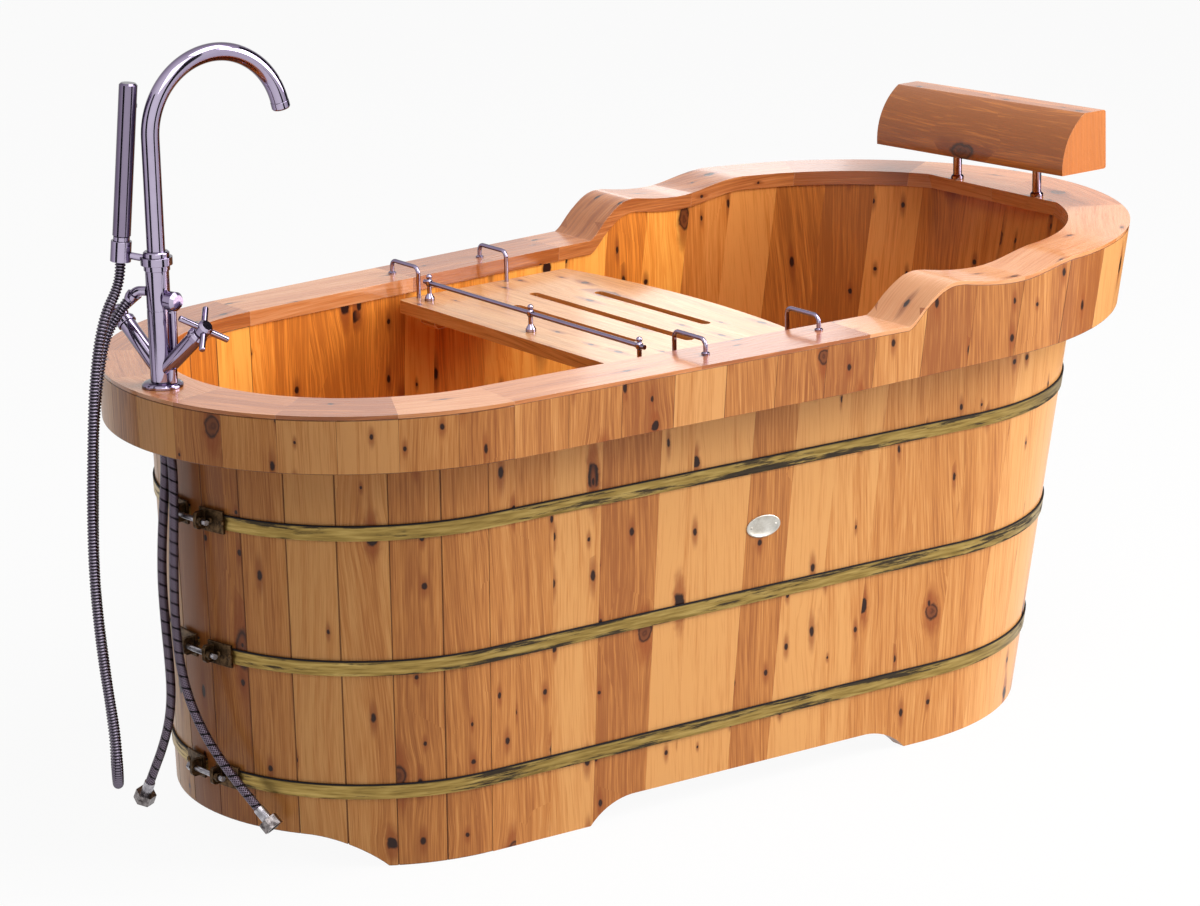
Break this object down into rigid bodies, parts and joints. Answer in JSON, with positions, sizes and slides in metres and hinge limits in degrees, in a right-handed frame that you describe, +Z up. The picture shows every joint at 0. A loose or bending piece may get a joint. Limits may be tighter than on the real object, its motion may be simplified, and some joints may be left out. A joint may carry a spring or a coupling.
{
  "type": "wooden bathtub",
  "caption": "Free-standing coopered wooden bathtub with hoops, raised head end, bridge tray, headrest, pillar mixer tap, hand shower and hoses.",
  "frame": {"origin": "centre of the footprint on the floor, without the hoses", "axes": "+X along the tub from the tap end to the head end, +Z up"},
  "size_m": [1.6426, 0.8022, 1.031],
  "materials": {
    "stave_wood": "clear varnish, satin to gloss",
    "rim_wood": "clear varnish, satin",
    "apron_wood": "clear varnish, satin",
    "floor_wood": "clear varnish, satin",
    "headrest_wood": "clear varnish, satin",
    "tray_wood": "clear varnish, satin",
    "hoop_brass": "aged, dull",
    "clamp_bronze": "dark, aged",
    "polished_chrome": "polished",
    "hose_steel": "bright",
    "braided_steel": "braided",
    "fixing_steel": "bright",
    "fixing_brass": "plain",
    "seal_rubber": "matt",
    "spray_plastic": "satin"
  },
  "bodies": {
    "tub": {"clamp_bolts": "clamp_bronze", "clamp_nuts": "clamp_bronze", "clamp_plates": "clamp_bronze", "clamp_rivets": "clamp_bronze", "deck_nut": "fixing_steel", "deck_stud": "fixing_steel", "drain_nut": "polished_chrome", "drain_seal": "seal_rubber", "drain_waste": "polished_chrome", "far_side_apron": "apron_wood", "far_side_staves": "stave_wood", "far_supply_hose": "braided_steel", "floor_battens": "floor_wood", "floor_boards": "floor_wood", "head_end_apron": "apron_wood", "head_end_staves": "stave_wood", "headrest_block": "headrest_wood", "headrest_collars": "polished_chrome", "headrest_posts": "polished_chrome", "horseshoe_plate": "fixing_steel", "hose_outlet": "polished_chrome", "hose_tails": "polished_chrome", "lower_hoop": "hoop_brass", "middle_hoop": "hoop_brass", "mixer_body": "polished_chrome", "near_side_apron": "apron_wood", "near_side_staves": "stave_wood", "near_supply_hose": "braided_steel", "outlet_nut": "polished_chrome", "rim_boards": "rim_wood", "shower_bracket": "polished_chrome", "shower_hose": "hose_steel", "spout_collar": "polished_chrome", "supply_ferrules": "fixing_steel", "supply_nuts": "fixing_brass", "tap_end_apron": "apron_wood", "tap_end_staves": "stave_wood", "tap_flange": "polished_chrome", "upper_hoop": "hoop_brass", "valve_bonnets": "polished_chrome"},
    "spout": {"spout": "polished_chrome", "aerator": "polished_chrome"},
    "near_handle": {"near_handle": "polished_chrome"},
    "far_handle": {"far_handle": "polished_chrome"},
    "diverter": {"diverter_knob": "polished_chrome"},
    "hand_shower": {"wand": "polished_chrome", "wand_spray_plate": "spray_plastic", "wand_nut": "polished_chrome"},
    "tray": {"tray_board": "tray_wood", "tray_hooks": "polished_chrome", "hook_feet": "polished_chrome", "tray_battens": "tray_wood", "tray_rail_posts": "polished_chrome", "tray_rail": "polished_chrome"},
    "plug": {"drain_plug": "polished_chrome"}
  },
  "joints": [
    {"name": "spout_swivel", "type": "hinge", "parent": "tub", "child": "spout", "pos_m": [-0.74, 0, 0.9], "axis": [0, 0, 1], "range_deg": [-90, 55]},
    {"name": "near_handle_turn", "type": "hinge", "parent": "tub", "child": "near_handle", "pos_m": [-0.74, 0, 0.628], "axis": [0.1955, -0.7232, 0.6624], "range_deg": [0, 90]},
    {"name": "far_handle_turn", "type": "hinge", "parent": "tub", "child": "far_handle", "pos_m": [-0.74, 0, 0.628], "axis": [-0.1413, 0.7357, 0.6624], "range_deg": [0, 90]},
    {"name": "diverter_turn", "type": "hinge", "parent": "tub", "child": "diverter", "pos_m": [-0.74, 0, 0.723], "axis": [0.225, -0.9744, 0], "range_deg": [0, 90]},
    {"name": "hand_shower_lift", "type": "slide", "parent": "tub", "child": "hand_shower", "axis": [0.0798, -0.0499, 0.9956], "range_m": [0, 0.04]},
    {"name": "tray_slide", "type": "slide", "parent": "tub", "child": "tray", "axis": [1, 0, 0], "range_m": [-0.1, 0.04]},
    {"name": "plug_lift", "type": "slide", "parent": "tub", "child": "plug", "axis": [0, 0, 1], "range_m": [0, 0.012]}
  ]
}
